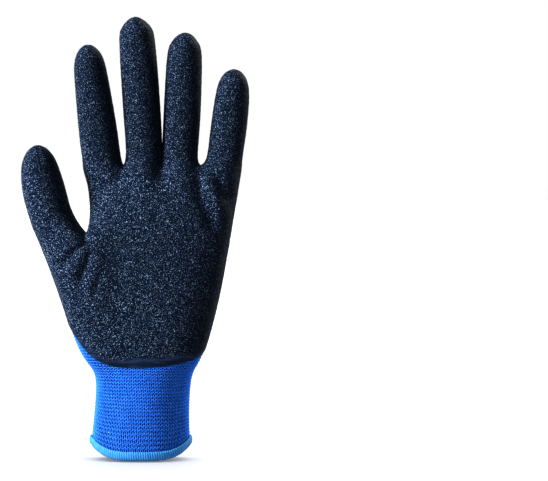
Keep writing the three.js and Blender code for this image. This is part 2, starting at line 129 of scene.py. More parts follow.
# along: share of the digit's length, or from_tip: distance below its tip in digit widths
THUMB_SECTIONS = table(
    "along from_tip width depth",
    (0.15, 0, 1.02, 1.12), (0.4, 0, 1.01, 1.04), (0.66, 0, 0.93, 0.94), (0.87, 0, 0.67, 0.7),
)
FINGER_SECTIONS = table(
    "along from_tip width depth",
    (0.07, 0, 1.02, 0.96), (0.3, 0, 1.01, 1), (0, 0.95, 1, 0.97), (0, 0.3, 0.76, 0.78),
)
# Bare strips: their top in digit widths below the tip; down from there, and half width as a share
STRIP_TOP = 1.05
STRIP_ROWS = table("down half", (0, 0), (0.05, 0.28), (0.2, 0.5), (0.5, 0.72), (0.95, 0.9), (1.6, 1))
WEB_EDGE = 0.992
WEB_HALF = 0.035
WEB_DIP = 3.5
WEB_SHIFT = 1.8
# Edges of the coating: across in palm widths, up in hand lengths
THUMB_SIDE_EDGE = [
    (-1, 0.86), (-0.74, 0.853), (-0.645, 0.79), (-0.585, 0.69), (-0.49, 0.605), (-0.425, 0.567),
    (-0.388, 0.62), (-0.362, 0.71), (-0.33, 0.83), (-0.34, 0.93),
]
LITTLE_SIDE_EDGE = [(0.59, 0.97), (0.563, 0.88), (0.533, 0.69), (0.525, 0.48), (0.7, 0.4)]
PALM_EDGE = [
    (-0.7, 0.31), (-0.48, 0.258), (-0.4, 0.178), (-0.335, 0.122), (-0.24, 0.084), (-0.15, 0.07),
    (0.02, 0.065), (0.19, 0.08), (0.32, 0.1), (0.39, 0.123), (0.6, 0.2),
]
THUMB_TAIL = (0.41, 0.54)
PALM_EDGE_START = 0.12
# Folds of the palm: points of their lines in palm widths and hand lengths; width in palm widths, rise in
# knit walls
FOLDS = table(
    "line width rise",
    ([(0.4, 1.0), (0.435, 0.93), (0.48, 0.85), (0.53, 0.75)], 0.045, 1.3),
    ([(0.365, 0.97), (0.38, 0.87), (0.425, 0.78), (0.475, 0.7)], 0.042, -1.0),
    ([(0.48, 0.955), (0.53, 0.89), (0.56, 0.84)], 0.042, -0.8),
    ([(-0.34, 0.66), (-0.42, 0.622), (-0.5, 0.565), (-0.515, 0.52)], 0.032, -1.4),
    ([(-0.33, 0.64), (-0.352, 0.566), (-0.386, 0.515), (-0.405, 0.44)], 0.032, -1.4),
    ([(-0.42, 0.58), (-0.46, 0.5)], 0.035, 0.6),
    ([(-0.275, 0.5), (-0.315, 0.4)], 0.026, -0.8),
    ([(-0.128, 0.985), (-0.2, 0.93), (-0.28, 0.9)], 0.045, -0.9),
    ([(0.12, 1.02), (0.12, 0.94)], 0.05, -0.7),
)
# Samples along a coarse quad's side, a mesh's columns across it, and samples that the palm's yarn goes on
# beyond both its ends
LEVELS = 5
SAMPLES = 2**LEVELS
COLUMNS = 8
BESIDE = 4


# Surface of the glove


join = np.concatenate


def smoothstep(value, low, high):
    """0 below low, 1 above high, 3t^2 - 2t^3 between."""
    t = np.clip((value - low) / (high - low), 0, 1)
    return t * t * (3 - 2 * t)


def mix(a, b, t):
    """a + (b - a) t."""
    return a + (b - a) * t


def rounding(share, power):
    """Half height of a superellipse at a share of its width: (1 - |2s - 1|^n)^(1/n)."""
    return (1 - np.abs(2 * share - 1) ** power) ** (1 / power)


def signed_power(value, power):
    """sign(v) |v|^n."""
    return np.sign(value) * np.abs(value) ** power


def unit(vectors):
    """Vectors divided by their lengths."""
    return vectors / np.maximum(np.linalg.norm(vectors, axis=-1, keepdims=True), 1e-12)


def lengths_along(points, axis=0):
    """Length along lines of points, at each point: the sum of the distances so far."""
    steps = np.linalg.norm(np.diff(points, axis=axis), axis=-1)
    return join([0 * np.take(steps, [0], axis), np.cumsum(steps, axis)], axis)


class Cage:
    """Coarse net of quads: rings joined by bands. Every band remembers its faces."""

    def __init__(self):
        self.points = []
        self.quads = []
        self.bands = {}

    def add(self, points):
        """Adds points and returns their indices."""
        first = len(self.points)
        self.points.extend(np.atleast_2d(points))
        return list(range(first, len(self.points)))

    def cover(self, name, quads):
        """Adds quads as a band."""
        first = len(self.quads)
        self.quads.extend(quads)
        self.bands[name] = np.arange(first, len(self.quads))

    def band(self, name, lower, upper):
        """Quads between two rings: corner k and k + 1 below, k + 1 and k above."""
        self.cover(name, list(zip(lower, np.roll(lower, -1), np.roll(upper, -1), upper)))

    def body_ring(self, across, place):
        """Counter-clockwise from above: right side, back, left side, palm."""
        front, back = (self.add(np.stack(place(across, side), -1)) for side in (-1, 1))
        right, left = (self.add(np.stack(place(np.array([end]), 0), -1))[0] for end in (1.0, 0.0))
        ring = [right, *back[::-1], left, *front]
        return {"front": front, "back": back, "left": left, "right": right, "ring": ring}


def digit_size(digit):
    """Length and width of a digit in millimetres."""
    longest = THUMB_LENGTH if digit.name == "thumb" else FINGER_LENGTH
    return digit.length * longest, digit.width * FINGER_WIDTH


def digit_frame(digit, along):
    """Centre and cross axes of a digit at a share of its length.

    The centre line leans evenly from the root's slope to the tip's and bends forward as the way's square.
    """
    thumb = digit.name == "thumb"
    length = digit_size(digit)[0]
    root_slope, tip_slope = (math.tan(math.radians(a)) for a in (digit.root_lean, digit.tip_lean))
    base = CUFF_LENGTH + HAND_LENGTH * HAND_ROWS[-1].up if thumb else CROTCH_HEIGHT
    start = -HAND_ROWS[-1].thumb * PALM_DEPTH if thumb else 0
    mean_slope = root_slope + (tip_slope - root_slope) * along / 2
    x = PALM_WIDTH * digit.root + mean_slope * length * along
    y = start - digit.bend * length * along**2
    centre = np.stack([x, y, base + length * along], -1)
    slope = mix(root_slope, tip_slope, along)
    direction = unit(np.stack([slope, -2 * digit.bend * along, np.ones_like(slope)], -1))
    sideways = unit(np.cross([0, 1, 0], direction))
    return centre, sideways, np.cross(direction, sideways)


def share_below_tip(digit, widths):
    """Share of a digit's length that lies some digit widths below its tip."""
    length, width = digit_size(digit)
    return 1 - widths * width / length


def add_digit(cage, digit, root):
    """Rings of eight points along the digit, superellipses with power 2.2, and a cap of four quads."""
    lower = root
    turn = np.arange(8) * math.pi / 4
    sections = THUMB_SECTIONS if digit.name == "thumb" else FINGER_SECTIONS
    for number, row in enumerate(sections):
        along = np.float64(row.along or share_below_tip(digit, row.from_tip * digit.tip))
        centre, sideways, backwards = digit_frame(digit, along)
        half_width = digit.width * FINGER_WIDTH * row.width * (1 if row.along else digit.taper) / 2
        half_depth = digit.width * FINGER_DEPTH * row.depth / 2
        a = half_width * signed_power(np.cos(turn).round(9), 2 / 2.2)
        b = half_depth * signed_power(np.sin(turn).round(9), 2 / 2.2)
        upper = cage.add(centre + a[:, None] * sideways + b[:, None] * backwards)
        cage.band(f"{digit.name} {number}", lower, upper)
        lower = upper
    apex = cage.add(digit_frame(digit, np.float64(1))[0])[0]
    cap = [[lower[k], lower[k + 1], lower[(k + 2) % 8], apex] for k in (0, 2, 4, 6)]
    cage.cover(f"{digit.name} cap", cap)


def build_cage():
    """The glove's net of sections, from the cuff's knitted edge to the fingertips."""
    def section(row, share, side):
        x = PALM_WIDTH * mix(row.left, row.right, share)
        y = side * PALM_DEPTH * (row.front if side < 0 else row.back) * rounding(share, 2.6)
        return x, y, np.full_like(x, CUFF_LENGTH + HAND_LENGTH * row.up)

    cage = Cage()
    evenly = (1 - np.cos(math.pi * (np.arange(len(AT_THUMB)) + 1) / (len(AT_THUMB) + 1))) / 2
    rings = []
    for row in CUFF_ROWS:
        def place(share, side, row=row):
            x = CUFF_WIDTH * ((share - 0.5) * row.width + row.shift)
            y = side * rounding(share, 2.1) * CUFF_DEPTH * row.depth / 2
            rise = HEM_RISE * np.abs(2 * share - 1) ** 4 * (1 - row.up) ** 2
            return x, y, mix(HEM_THREAD + SEAM_GAP, CUFF_LENGTH, row.up) + rise
        rings.append(cage.body_ring(evenly, place))
    thumb_up = HAND_ROWS[-1].up
    for row in HAND_ROWS:
        def place(share, side, row=row):
            x, y, z = section(row, share, side)
            forward = row.thumb * PALM_DEPTH * smoothstep(-share, -0.42, -0.1)
            dip = WEB_DIP * (row.up == thumb_up) * np.exp(-(((share - AT_THUMB[2]) / 0.05) ** 2))
            return x, y - forward, z - dip
        settled = min(1, row.up / thumb_up * 1.6)
        rings.append(cage.body_ring(mix(evenly, AT_THUMB, settled), place))
    for number in range(1, len(rings)):
        cage.band(f"trunk {number}", rings[number - 1]["ring"], rings[number]["ring"])
    top = rings[-1]
    web_x = PALM_WIDTH * mix(HAND_ROWS[-1].left, HAND_ROWS[-1].right, AT_THUMB[2]) + WEB_SHIFT
    web_z = CUFF_LENGTH + HAND_LENGTH * thumb_up - 0.03 * FINGER_WIDTH
    web = cage.add([web_x, -0.09 * PALM_DEPTH, web_z])[0]
    palms = [{"ring": [top["right"], *top["back"][:1:-1], web, *top["front"][2:]]}]
    for row in PALM_ROWS:
        settled = (row.up - thumb_up) / (1 - thumb_up)
        across = mix((AT_THUMB[2:] - AT_THUMB[2]) / (1 - AT_THUMB[2]), AT_FINGERS, settled)
        valley = np.ones(9)
        valley[[2, 4, 6]] = 1 - row.valley

        def place(share, side, row=row, valley=valley):
            x, y, z = section(row, share, side)
            return x, y * (valley if len(share) > 1 else 1), z
        palms.append(cage.body_ring(across, place))
    for number in (1, 2):
        cage.band(f"palm {number}", palms[number - 1]["ring"], palms[number]["ring"])
    crown = palms[-1]
    saddle_x = PALM_WIDTH * mix(PALM_ROWS[-1].left, PALM_ROWS[-1].right, AT_FINGERS[[2, 4, 6]])
    saddles = cage.add([[x, 0, CROTCH_HEIGHT + 0.05 * FINGER_WIDTH] for x in saddle_x])
    add_digit(cage, DIGITS[0], [web, *top["back"][2::-1], top["left"], *top["front"][:3]])
    sides = [crown["left"], *saddles, crown["right"]]
    for number, digit in enumerate(DIGITS[1:]):
        back, front = (crown[side][2 * number:2 * number + 3] for side in ("back", "front"))
        add_digit(cage, digit, [sides[number + 1], *back[::-1], sides[number], *front])
    return np.array(cage.points, float), np.array(cage.quads), cage.bands, saddle_x


def scatter(index, values, count):
    """Sum of the values that share an index."""
    return np.stack([np.bincount(index, values[:, axis], count) for axis in range(values.shape[1])], -1)


def subdivide(points, quads):
    """One Catmull-Clark step.

    A face point is the mean of its corners. An edge point is the mean of its ends and of the two face points
    beside it, or of its ends alone on a rim. An old point with n faces goes to ((n - 3) p + mean of face
    points + 2 mean of edge middles) / n, and on a rim halfway to its rim middles' mean.
    """
    count = len(points)
    centres = points[quads].mean(1)
    ends = np.stack([quads, np.roll(quads, -1, 1)], -1).reshape(-1, 2)
    ends.sort(1)
    keys, index, uses = np.unique(ends[:, 0] * count + ends[:, 1], return_inverse=True, return_counts=True)
    edges = np.stack([keys // count, keys % count], -1)
    middles = points[edges].mean(1)
    beside = scatter(index, np.repeat(centres, 4, 0), len(edges))
    rim = uses == 1
    edge_points = np.where(rim[:, None], middles, (2 * middles + beside) / 4)
    faces = np.bincount(quads.ravel(), minlength=count)[:, None]
    face_sum = scatter(quads.ravel(), np.repeat(centres, 4, 0), count)
    edge_sum = scatter(edges.ravel(), np.repeat(middles, 2, 0), count)
    moved = ((faces - 3) * points + face_sum / faces + 2 * edge_sum / faces) / faces
    rim_sum = scatter(edges[rim].ravel(), np.repeat(middles[rim], 2, 0), count)
    on_rim = np.bincount(edges[rim].ravel(), minlength=count) > 0
    moved[on_rim] = (rim_sum[on_rim] / 2 + points[on_rim]) / 2
    between = index.reshape(-1, 4) + count
    centre = np.arange(len(quads)) + count + len(edges)
    children = [[quads[:, k], between[:, k], centre, between[:, k - 1]] for k in range(4)]
    children = np.array(children).transpose(2, 0, 1).reshape(-1, 4)
    return join([moved, edge_points, centres]), children


def fitted(points, quads, rounds=8):
    """Moves the net until its smooth surface passes through the sections' own points."""
    moved = points.copy()
    for _ in range(rounds):
        smooth = subdivide(*subdivide(moved, quads))[0]
        moved += points - smooth[:len(points)]
    return moved


def smooth_surface():
    """Points of the smooth surface and, for each coarse quad, its grid of point indices [quad, up, along]."""
    points, quads, bands, webs = build_cage()
    count = len(quads)
    net = fitted(points, quads), quads
    place = np.tile(np.array([[0, 0], [1, 0], [1, 1], [0, 1]]) * SAMPLES, (count, 1, 1))
    owner = np.arange(count)
    for _ in range(LEVELS):
        net = subdivide(*net)
        after, before = np.roll(place, -1, 1), np.roll(place, 1, 1)
        centre = np.repeat(place.mean(1, keepdims=True).astype(int), 4, 1)
        place = np.stack([place, (place + after) // 2, centre, (place + before) // 2], 2).reshape(-1, 4, 2)
        owner = np.repeat(owner, 4)
    grid = np.zeros((count, SAMPLES + 1, SAMPLES + 1), int)
    grid[owner[:, None], place[..., 1], place[..., 0]] = net[1]
    return net[0], grid, bands, webs


def quad_normals(points, quads):
    """Unit normals at points: the sum of the crossed diagonals of the quads round each."""
    a, b, c, d = (points[quads[:, k]] for k in range(4))
    across = np.cross(c - a, d - b)
    return unit(scatter(quads.ravel(), np.repeat(across, 4, 0), len(points)))


def palm_points(pairs):
    """Points (x, z) given in palm widths and hand lengths."""
    return np.array(pairs) * [PALM_WIDTH, HAND_LENGTH] + [0, CUFF_LENGTH]


def distance_to_line(points, line):
    """Distance of points to the nearest of a line's straight parts, and the share of its length there."""
    ends = lengths_along(line)
    ends /= ends[-1]
    away, share = np.full(len(points), np.inf), np.zeros(len(points))
    for k, (start, end) in enumerate(zip(line[:-1], line[1:])):
        run = end - start
        along = np.clip((points - start) @ run / max(run @ run, 1e-9), 0, 1)
        distance = np.linalg.norm(points - start - along[:, None] * run, axis=1)
        share = np.where(distance < away, mix(ends[k], ends[k + 1], along), share)
        away = np.minimum(away, distance)
    return away, share


def fold_height(points, normals):
    """Bells exp(-(d / w)^2) round the folds' lines, sinking to a fifth at their ends, on the palm's side."""
    height = np.zeros(len(points))
    for fold in FOLDS:
        away, share = distance_to_line(points[:, [0, 2]], palm_points(fold.line))
        fade = 1 - 0.8 * (2 * share - 1) ** 4
        height += fold.rise * KNIT_WALL * fade * np.exp(-((away / (fold.width * PALM_WIDTH)) ** 2))
    return height * smoothstep(-normals[:, 1], 0.25, 0.7)


# Where the knit stays bare


def corner_cut(line, closed=False):
    """Rounds a line in two steps, each with a corner's two sides cut a quarter of the way from it."""
    for _ in range(2):
        a, b = (line, np.roll(line, -1, 0)) if closed else (line[:-1], line[1:])
        cut = np.stack([0.75 * a + 0.25 * b, 0.25 * a + 0.75 * b], 1).reshape(-1, 2)
        line = cut if closed else join([line[:1], cut, line[-1:]])
    return line


def bare_back_outline(webs):
    """Outline (x, z) of the bare back: thumb's side, a pointed strip up each finger, little finger's side."""
    line = [palm_points(THUMB_SIDE_EDGE)]
    for number, digit in enumerate(DIGITS[1:]):
        rows = STRIP_ROWS[::-1]
        along = np.array([share_below_tip(digit, STRIP_TOP + row.down) for row in rows])
        half = np.array([row.half for row in rows])
        centre, sideways, _ = digit_frame(digit, along)
        width = digit_size(digit)[1]
        for side, order in ((-1, slice(None)), (1, slice(-2, None, -1))):
            away = (digit.strip_shift + side * half * digit.strip) * width / 2
            line.append((centre + away[:, None] * sideways)[order][:, [0, 2]])
        if number < 3:
            web = webs[number] / PALM_WIDTH
            line.append(palm_points([(web - WEB_HALF, WEB_EDGE), (web + WEB_HALF, WEB_EDGE)]))
    line.append(palm_points(LITTLE_SIDE_EDGE))
    return corner_cut(join(line))


def closed_below(line):
    """Closes a line from left to right with its two lower corners."""
    return join([[[line[0, 0], -HEM_HEIGHT]], line, [[line[-1, 0], -HEM_HEIGHT]]])


def distance_inside(points, outline):
    """Distance of points (x, z) to a closed outline, positive inside, with an odd number of sides beyond."""
    away = distance_to_line(points, join([outline, outline[:1]]))[0]
    x, z = points.T
    inside = np.zeros(len(points), bool)
    for a, b in zip(outline, np.roll(outline, -1, 0)):
        if a[1] != b[1]:
            beyond = x < (b[0] - a[0]) * (z - a[1]) / (b[1] - a[1]) + a[0]
            inside ^= ((a[1] > z) != (b[1] > z)) & beyond
    return np.where(inside, away, -away)


class BareRegion:
    """Signed distance to the coating's edge, positive where the knit is bare."""

    def __init__(self, webs):
        self.back = closed_below(bare_back_outline(webs))
        self.palm = closed_below(corner_cut(palm_points(PALM_EDGE)))

    def __call__(self, points):
        """The larger depth in two regions: the back's outline behind the middle, and below the palm's edge.

        The middle lies forward on the thumb's side, by the rows' own share of the palm's depth.
        """
        x, y, z = points.T
        ups, thumbs = zip((0, 0), *((row.up, row.thumb) for row in HAND_ROWS))
        side_forward = PALM_DEPTH * np.interp((z - CUFF_LENGTH) / HAND_LENGTH, ups, thumbs)
        start = -side_forward * smoothstep(-x / PALM_WIDTH, *THUMB_TAIL)
        back = np.minimum(distance_inside(points[:, [0, 2]], self.back), y - start)
        front = np.minimum(distance_inside(points[:, [0, 2]], self.palm), PALM_EDGE_START * PALM_DEPTH - y)
        return np.maximum(back, front)


# Noise


def gradient_noise(points, cell, seed):
    """Smooth noise between about -1 and 1: gradients at cells' corners, blended by 6t^5 - 15t^4 + 10t^3."""
    table_size = 256
    draw = np.random.RandomState(seed)
    order = draw.permutation(table_size)
    gradients = unit(draw.normal(size=(table_size, 3)))
    scaled = points / cell
    base = np.floor(scaled).astype(int)
    part = scaled - base
    fade = part**3 * (part * (part * 6 - 15) + 10)
    total = np.zeros(len(points))
    for corner in np.ndindex(2, 2, 2):
        index = (base + corner) % table_size
        pick = order[(order[(order[index[:, 0]] + index[:, 1]) % table_size] + index[:, 2]) % table_size]
        weight = np.where(corner, fade, 1 - fade).prod(1)
        total += weight * (gradients[pick] * (part - corner)).sum(1)
    return total * 1.6


def crinkle(points):
    """Worm-like ridges: 1 where the noise crosses zero, falling off to its sides, from two sizes of noise."""
    wide = 1 - np.minimum(1, 2.6 * np.abs(gradient_noise(points, 2.6, 3)))
    fine = 1 - np.minimum(1, 2.2 * np.abs(gradient_noise(points * [1.25, 1.25, 0.9], 1.5, 11)))
    return 0.55 * wide + 0.45 * fine


# Meshes


class Glove:
    """The smooth surface with its folds, its normals and its bands of samples."""

    def __init__(self):
        self.points, self.grid, self.bands, webs = smooth_surface()
        self.bare = BareRegion(webs)
        quads = grid_quads(self.grid)
        normals = quad_normals(self.points, quads)
        self.points += normals * fold_height(self.points, normals)[:, None]
        self.normals = quad_normals(self.points, quads)

    def band_ids(self, name):
        """Point indices of a band: rows upwards, columns round the glove, the first column repeated last."""
        grid = self.grid[self.bands[name]]
        ring = grid[:, :, :-1].transpose(1, 0, 2).reshape(SAMPLES + 1, -1)
        return join([ring, ring[:, :1]], 1)

    def names(self, *starts):
        """Names of the bands that begin with one of some words."""
        return [name for name in self.bands if name.split()[0] in starts]

    def mesh(self, names, spacing):
        """Points, normals and quads over some bands, with rows about as far apart as spacing.

        A band's rows are linear between its samples. Rows on its two rims use the surface's own points, so
        neighbouring bands join.
        """
        points, normals, quads = [self.points], [self.normals], []
        total = len(self.points)
        step = SAMPLES // COLUMNS
        for name in names:
            if name.endswith("cap"):
                quads.append(grid_quads(self.grid[self.bands[name]][:, ::step, ::step]))
                continue
            ids = self.band_ids(name)[:, ::step][:, :-1]
            height = np.linalg.norm(self.points[ids[-1]] - self.points[ids[0]], axis=-1).max()
            rows = max(2, round(height / spacing))
            level = np.linspace(0, SAMPLES, rows + 1)[1:-1]
            low = level.astype(int)
            part = (level - low)[:, None, None]
            for source, target in ((self.points, points), (self.normals, normals)):
                target.append(mix(source[ids[low]], source[ids[low + 1]], part).reshape(-1, 3))
            inner = total + np.arange((rows - 1) * ids.shape[1]).reshape(rows - 1, -1)
            total += inner.size
            whole = join([ids[:1], inner, ids[-1:]])
            quads.append(grid_quads(join([whole, whole[:, :1]], 1)))
        used, index = np.unique(join(quads), return_inverse=True)
        return join(points)[used], unit(join(normals)[used]), index.reshape(-1, 4)

    def rows(self, names, half):
        """Samples over stacked bands: the back half, the palm half or all round, as [row, column, 6].

        The palm half goes a few columns beyond both its ends, over the back half.
        """
        stack = []
        for name in names:
            ids = self.band_ids(name)
            middle = (ids.shape[1] - 1) // 2
            palm = join([ids[:, middle - BESIDE:], ids[:, 1:BESIDE + 1]], 1)
            ids = {"back": ids[:, :middle + 1], "palm": palm, "round": ids}[half]
            stack.append(ids[1:] if stack else ids)
        ids = join(stack)
        return join([self.points[ids], self.normals[ids]], -1)


def grid_quads(grid):
    """Quads of a stack of grids of indices."""
    corners = grid[..., :-1, :-1], grid[..., :-1, 1:], grid[..., 1:, 1:], grid[..., 1:, :-1]
    return np.stack(corners, -1).reshape(-1, 4)


def clip(values, triangles, *fields):
    """Keeps the part of a triangle mesh where values < 0, with edges cut where a line between values is 0.

    Returns the triangles, and the values and the fields with those of the cut points added.
    """
    inside = values < 0
    count = inside[triangles].sum(1)
    parts = []
    for number in (1, 2):
        chosen = triangles[count == number]
        turn = (inside[chosen] == (number == 1)).argmax(1)
        parts.append([chosen[np.arange(len(chosen)), (turn + k) % 3] for k in range(3)])
    pairs = join([np.stack([a, other], -1) for a, b, c in parts for other in (b, c)])
    pairs.sort(1)
    keys, index = np.unique(pairs[:, 0] * len(values) + pairs[:, 1], return_inverse=True)
    low, high = keys // len(values), keys % len(values)
    (a, _, _), (_, b, c) = parts
    ab, ac, cut_b, cut_c = np.split(index + len(values), np.cumsum([len(a), len(a), len(b)]))
    kept = [triangles[count == 3]]
    kept += [np.stack(corners, -1) for corners in ((a, ab, ac), (cut_b, b, c), (cut_b, c, cut_c))]
    share = values[low] / (values[low] - values[high])
    grown = []
    for field in (values, *fields):
        part = share if field.ndim == 1 else share[:, None]
        grown.append(join([field, mix(field[low], field[high], part)]))
    return join(kept), grown


def make_object(name, points, faces, attributes=None, smooth=True):
    """A mesh object from points in millimetres and arrays of faces, with optional numbers at its points."""
    used = np.unique(join([f.ravel() for f in faces]))
    if not len(used):
        raise RuntimeError(f"{name} has no faces")
    new = np.zeros(len(points), int)
    new[used] = np.arange(len(used))
    mesh = bpy.data.meshes.new(name)
    mesh.from_pydata(points[used] * MM, [], [corners for f in faces for corners in new[f].tolist()])
    mesh.polygons.foreach_set("use_smooth", np.full(len(mesh.polygons), smooth))
    for key, values in (attributes or {}).items():
        layer = mesh.attributes.new(key, "FLOAT", "POINT")
        layer.data.foreach_set("value", values[used].astype(np.float32))
    mesh.validate()
    made = bpy.data.objects.new(name, mesh)
    bpy.context.scene.collection.objects.link(made)
    return made


def shell(name, outer, inner, faces, attributes=None):
    """A closed shell between outer and inner points of the same faces, with quads along their rim."""
    ends = np.stack([faces, np.roll(faces, -1, 1)], -1).reshape(-1, 2)
    count = len(outer)
    rim = ends[~np.isin(ends[:, 0] * count + ends[:, 1], ends[:, 1] * count + ends[:, 0])]
    edge = np.stack([rim[:, 1], rim[:, 0], rim[:, 0] + count, rim[:, 1] + count], -1)
    twice = {key: np.tile(values, 2) for key, values in (attributes or {}).items()}
    return make_object(name, join([outer, inner]), [faces, faces[:, ::-1] + count, edge], twice)


# Yarn


Block = namedtuple("Block", "rows marks centre")
Loop = namedtuple("Loop", "lean rise depth lift")
HAND_LOOP = Loop(lean=0.12, rise=0.64, depth=-0.3, lift=0.1)
CUFF_LOOP = Loop(lean=0.12, rise=0.71, depth=-0.22, lift=0.1)
OVERLAP = 5
STEPS = 8
UNDER_EDGE = -1.2


def stacked(parts, centre, below=None, above=None):
    """One block of stacked parts, with a few rows of its neighbours. Courses start and end at parts' ends."""
    stack = [] if below is None else [below[-OVERLAP - 1:-1]]
    marks = [sum(map(len, stack))]
    for part in parts:
        stack.append(part)
        marks.append(sum(map(len, stack)) - 1)
    if above is not None:
        stack.append(above[1:OVERLAP + 1])
    return Block(join(stack), marks, centre)


def row_samples(block, heights, across, centre, around=0):
    """Points and normals of a block at heights up its centre column and places across each row.

    Heights are lengths along the centre column. across is the length along the row from that column or, where
    around is the number of stitches in a closed row, a number of stitches. Returns [height, place, 6] and
    whether each place lies on the block.
    """
    up = lengths_along(block[:, centre, :3])
    level = np.interp(heights, up, np.arange(len(up)))
    low = np.minimum(level.astype(int), len(up) - 2)
    rows = mix(block[low], block[low + 1], (level - low)[:, None, None])
    length = lengths_along(rows[..., :3], 1)
    place = length / length[:, -1:] * around if around else length - length[:, centre:centre + 1]
    found = np.empty((len(rows), len(across), 6))
    for number, row in enumerate(rows):
        for axis in range(6):
            found[number, :, axis] = np.interp(across, place[number], row[:, axis])
    return found, (across >= place[:, :1]) & (across <= place[:, -1:])


def knit_rows(block, wale, course, loop, yarn, shift=0.0, around=0):
    """Centre points, normals and reach of the yarn over a block, as [course, point along, 3].

    Along a course, with t one turn a stitch, the yarn goes p t + a sin 2t across, b cos t up and c cos 2t
    out of the surface, the path of a plain knitted loop. Noise moves it a little along the surface.
    """
    rows, marks, centre = block
    up = lengths_along(rows[:, centre, :3])
    middles, pitches = [], []
    for low, high in zip(up[marks[:-1]], up[marks[1:]]):
        courses = max(1, round((high - low) / course))
        pitch = (high - low) / courses
        middles.append(low + (np.arange(courses) + 0.5) * pitch)
        pitches.append(np.full(courses, pitch))
    middles, pitches = join(middles), join(pitches)
    if around:
        stitches = np.arange(around)
    else:
        most = math.ceil(lengths_along(rows[..., :3], 1)[:, -1].max() / wale)
        stitches = np.arange(-most, most + 1)
    turn = 2 * math.pi * np.arange(STEPS) / STEPS
    path = np.empty((len(middles), len(stitches), STEPS, 6))
    valid = np.empty(path.shape[:3], bool)
    for k in range(STEPS):
        heights = np.clip(middles + loop.rise * math.cos(turn[k]) * pitches, 0, up[-1])
        across = stitches + k / STEPS + loop.lean * math.sin(2 * turn[k])
        across = across % around if around else wale * across + shift
        path[:, :, k], valid[:, :, k] = row_samples(rows, heights, across, centre, around)
    path = path.reshape(len(middles), -1, 6)
    depth = np.tile(-loop.depth * np.cos(2 * turn), len(stitches)) + loop.lift
    normals = unit(path[..., 3:])
    lines = path[..., :3] + normals * (depth * yarn)[:, None]
    flat = lines.reshape(-1, 3)
    waver = np.zeros_like(flat)
    for axis, wide, fine, seed in ((0, 7, 1.7, 21), (2, 6, 1.6, 23)):
        waver[:, axis] = 0.3 * gradient_noise(flat, wide, seed) + 0.1 * gradient_noise(flat, fine, seed + 1)
    waver = waver.reshape(lines.shape)
    waver -= (waver * normals).sum(-1, keepdims=True) * normals
    return lines + waver, normals, valid.reshape(len(middles), -1)


def tubes(lines, normals, valid, radius, closed=False):
    """Four-sided tubes along rows of points, [row, point, 3], where two neighbours are valid, with caps.

    The section at a point is the point plus or minus the radius across the line and out of the surface.
    """
    rows, length = valid.shape
    ahead = np.roll(lines, -1, 1) - np.roll(lines, 1, 1) if closed else np.gradient(lines, axis=1)
    aside = unit(np.cross(ahead, normals))
    out = unit(np.cross(aside, ahead))
    ring = lines[:, :, None] + radius * np.stack([aside, out, -aside, -out], 2)
    index = np.arange(rows * length * 4).reshape(rows, length, 4)
    after = np.roll(index, -1, 1)
    joined = valid & np.roll(valid, -1, 1)
    joined[:, -1] &= closed
    turned, after_turned = np.roll(index, -1, 2), np.roll(after, -1, 2)
    quads = list(np.stack([index, after, after_turned, turned], -1)[joined].transpose(1, 0, 2))
    before = np.roll(joined, 1, 1)
    quads += [index[joined & ~before], index[before & ~joined][:, ::-1]]
    return ring.reshape(-1, 3), join(quads)


# Materials


def math_method(operation, turned=False):
    """A method of Number that adds a Math node, its values turned round for a reflected operator."""
    def method(self, other):
        return self.math(operation, *((other, self) if turned else (self, other)))
    return method


class Number:
    """A number in a shader. Python's operators on it add Math nodes."""

    def __init__(self, shader, socket):
        self.shader = shader
        self.socket = socket

    def math(self, operation, *values):
        """Adds a Math node."""
        made = self.shader.node("ShaderNodeMath", {"operation": operation}, dict(enumerate(values)))
        return Number(self.shader, made.outputs[0])

    __add__ = __radd__ = math_method("ADD")
    __sub__ = math_method("SUBTRACT")
    __rsub__ = math_method("SUBTRACT", True)
    __mul__ = __rmul__ = math_method("MULTIPLY")
    __truediv__ = math_method("DIVIDE")
    __rtruediv__ = math_method("DIVIDE", True)

    def __abs__(self):
        return self.math("ABSOLUTE", self)

    def clamped(self):
        """Kept between 0 and 1."""
        return self.math("MINIMUM", self.math("MAXIMUM", self, 0), 1)

    def step(self, low, high):
        """Smoothly from 0 at low to 1 at high."""
        values = {"Value": self, "From Min": low, "From Max": high}
        made = self.shader.node("ShaderNodeMapRange", {"interpolation_type": "SMOOTHSTEP"}, values)
        return Number(self.shader, made.outputs["Result"])


